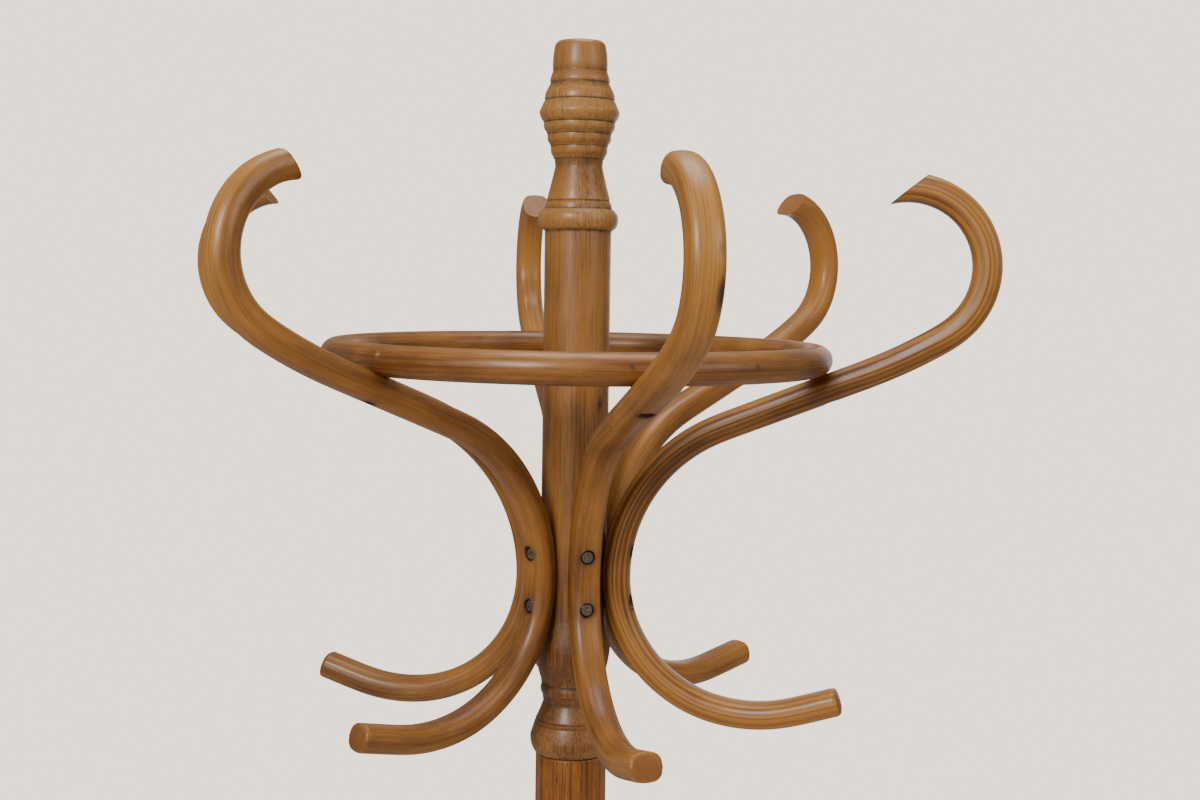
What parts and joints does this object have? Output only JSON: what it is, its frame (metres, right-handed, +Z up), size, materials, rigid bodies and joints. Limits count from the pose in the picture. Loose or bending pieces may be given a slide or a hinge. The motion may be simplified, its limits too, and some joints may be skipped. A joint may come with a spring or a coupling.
{
  "type": "coat rack",
  "caption": "Standing coat rack with a turned post, curled bentwood arms round a revolving head, a hat ring, an umbrella ring and bent legs.",
  "frame": {"origin": "floor level on the axis of the post, the middle of the base", "axes": "+Z up along the post, -Y towards the front, arms turned 13.7 degrees from the front at rest"},
  "size_m": [0.624, 0.624, 1.85],
  "materials": {
    "turned_wood": "satin clear varnish on turned hardwood, honey brown",
    "column_wood": "satin clear varnish on straight-grained hardwood, a little darker",
    "bent_wood": "satin clear varnish on steam-bent beech, honey brown",
    "dark_steel": "blackened steel wood screws",
    "bright_steel": "plain bright steel",
    "brass": "turned brass",
    "glide_plastic": "matt dark brown plastic"
  },
  "bodies": {
    "stand": {"swivel_washer": "bright_steel", "swivel_spindle": "bright_steel", "column": "column_wood", "column_dowel": "bright_steel", "base_post": "turned_wood", "base_knob": "turned_wood", "leg_1": "bent_wood", "leg_2": "bent_wood", "leg_3": "bent_wood", "leg_4": "bent_wood", "leg_screws": "dark_steel", "umbrella_ring": "bent_wood", "umbrella_ring_screws": "dark_steel", "foot_glides": "glide_plastic", "glide_nails": "bright_steel"},
    "head": {"head_post": "turned_wood", "arm_1": "bent_wood", "arm_2": "bent_wood", "arm_3": "bent_wood", "arm_4": "bent_wood", "arm_5": "bent_wood", "arm_6": "bent_wood", "arm_screws": "dark_steel", "hat_ring": "bent_wood", "ring_screws": "dark_steel", "swivel_bush": "brass"}
  },
  "joints": [
    {"name": "head_swivel", "type": "hinge", "parent": "stand", "child": "head", "pos_m": [0, 0, 1.3455], "axis": [0, 0, 1], "continuous": true}
  ]
}
